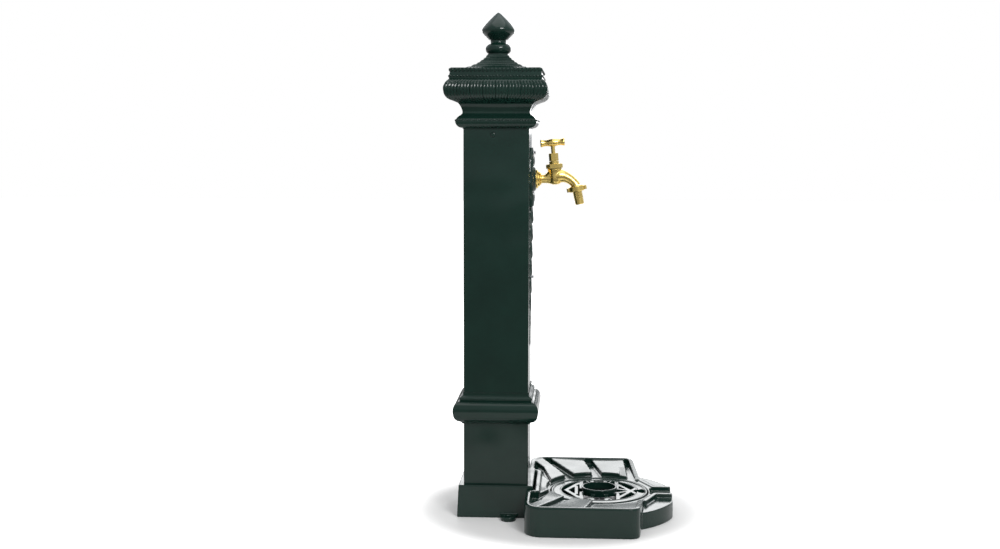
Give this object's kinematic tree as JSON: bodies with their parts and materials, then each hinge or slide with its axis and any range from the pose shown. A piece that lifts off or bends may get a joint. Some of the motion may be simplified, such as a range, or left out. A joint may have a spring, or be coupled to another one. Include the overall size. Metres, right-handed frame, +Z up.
{
  "type": "garden water fountain",
  "caption": "Freestanding square column water fountain with moulded cap and finial, brass bib tap with T handle and hose tail, and a floor tray with a lift-out drain grate.",
  "frame": {"origin": "centre of the supply entry hole in the plinth's underside, on the column's axis at floor level", "axes": "+Z up along the column, -Y forward over the tap and tray, +X sideways to the far side of the picture"},
  "size_m": [0.412, 0.4586, 1.0112],
  "materials": {
    "green_paint": "gloss dark green paint on cast iron",
    "brass": "satin cast brass with polished edges",
    "rubber": "matt",
    "zinc_steel": "zinc plated",
    "drain_plastic": "moulded"
  },
  "bodies": {
    "fountain": {"plinth_base": "green_paint", "column_shaft": "green_paint", "front_relief": "green_paint", "cap_casting": "green_paint", "finial": "green_paint", "tray_basin": "green_paint", "cap_screws": "green_paint", "wall_flange": "brass", "tap_body": "brass", "bonnet": "brass", "gland_nut": "brass", "inlet_elbow": "brass", "supply_union": "brass", "bonnet_seal": "rubber", "gland_packing": "rubber", "elbow_seal": "rubber", "drain_gasket": "rubber", "shaft_bolts": "zinc_steel", "shaft_washers": "zinc_steel", "shaft_nuts": "zinc_steel", "relief_screws": "zinc_steel", "finial_stud": "zinc_steel", "finial_nut": "zinc_steel", "finial_washer": "zinc_steel", "riser_pipe": "zinc_steel", "pipe_clips": "zinc_steel", "clip_screws": "zinc_steel", "tray_bolts": "zinc_steel", "tray_washers": "zinc_steel", "tray_nuts": "zinc_steel", "drain_body": "drain_plastic", "drain_nut": "drain_plastic"},
    "valve": {"jumper_valve": "brass", "valve_washer": "rubber", "valve_nut": "brass"},
    "handle": {"spindle": "brass", "tap_handle": "brass", "handle_pin": "brass"},
    "hose_coupling": {"hose_tail": "brass", "hose_washer": "rubber"},
    "union": {"union_nut": "brass"},
    "grate": {"tray_grate": "green_paint"}
  },
  "joints": [
    {"name": "valve_lift", "type": "slide", "parent": "fountain", "child": "valve", "axis": [0, 0.0837, 0.9965], "range_m": [0, 0.006]},
    {"name": "handle_turn", "type": "hinge", "parent": "valve", "child": "handle", "pos_m": [0, -0.1155, 0.68], "axis": [0, 0.0837, 0.9965], "range_deg": [0, 1080]},
    {"name": "coupling_slide", "type": "slide", "parent": "fountain", "child": "hose_coupling", "axis": [0, -0.2079, -0.9781], "range_m": [0, 0.00545]},
    {"name": "union_turn", "type": "hinge", "parent": "hose_coupling", "child": "union", "pos_m": [0, -0.15616, 0.67216], "axis": [0, -0.2079, -0.9781], "range_deg": [0, 1080]},
    {"name": "grate_lift", "type": "slide", "parent": "fountain", "child": "grate", "axis": [0, 0, 1], "range_m": [0, 0.06]}
  ],
  "couplings": [
    {"joint": "valve_lift", "follows": "handle_turn", "m_per_rad": 0.0003183},
    {"joint": "coupling_slide", "follows": "union_turn", "m_per_rad": 0.0002887}
  ]
}
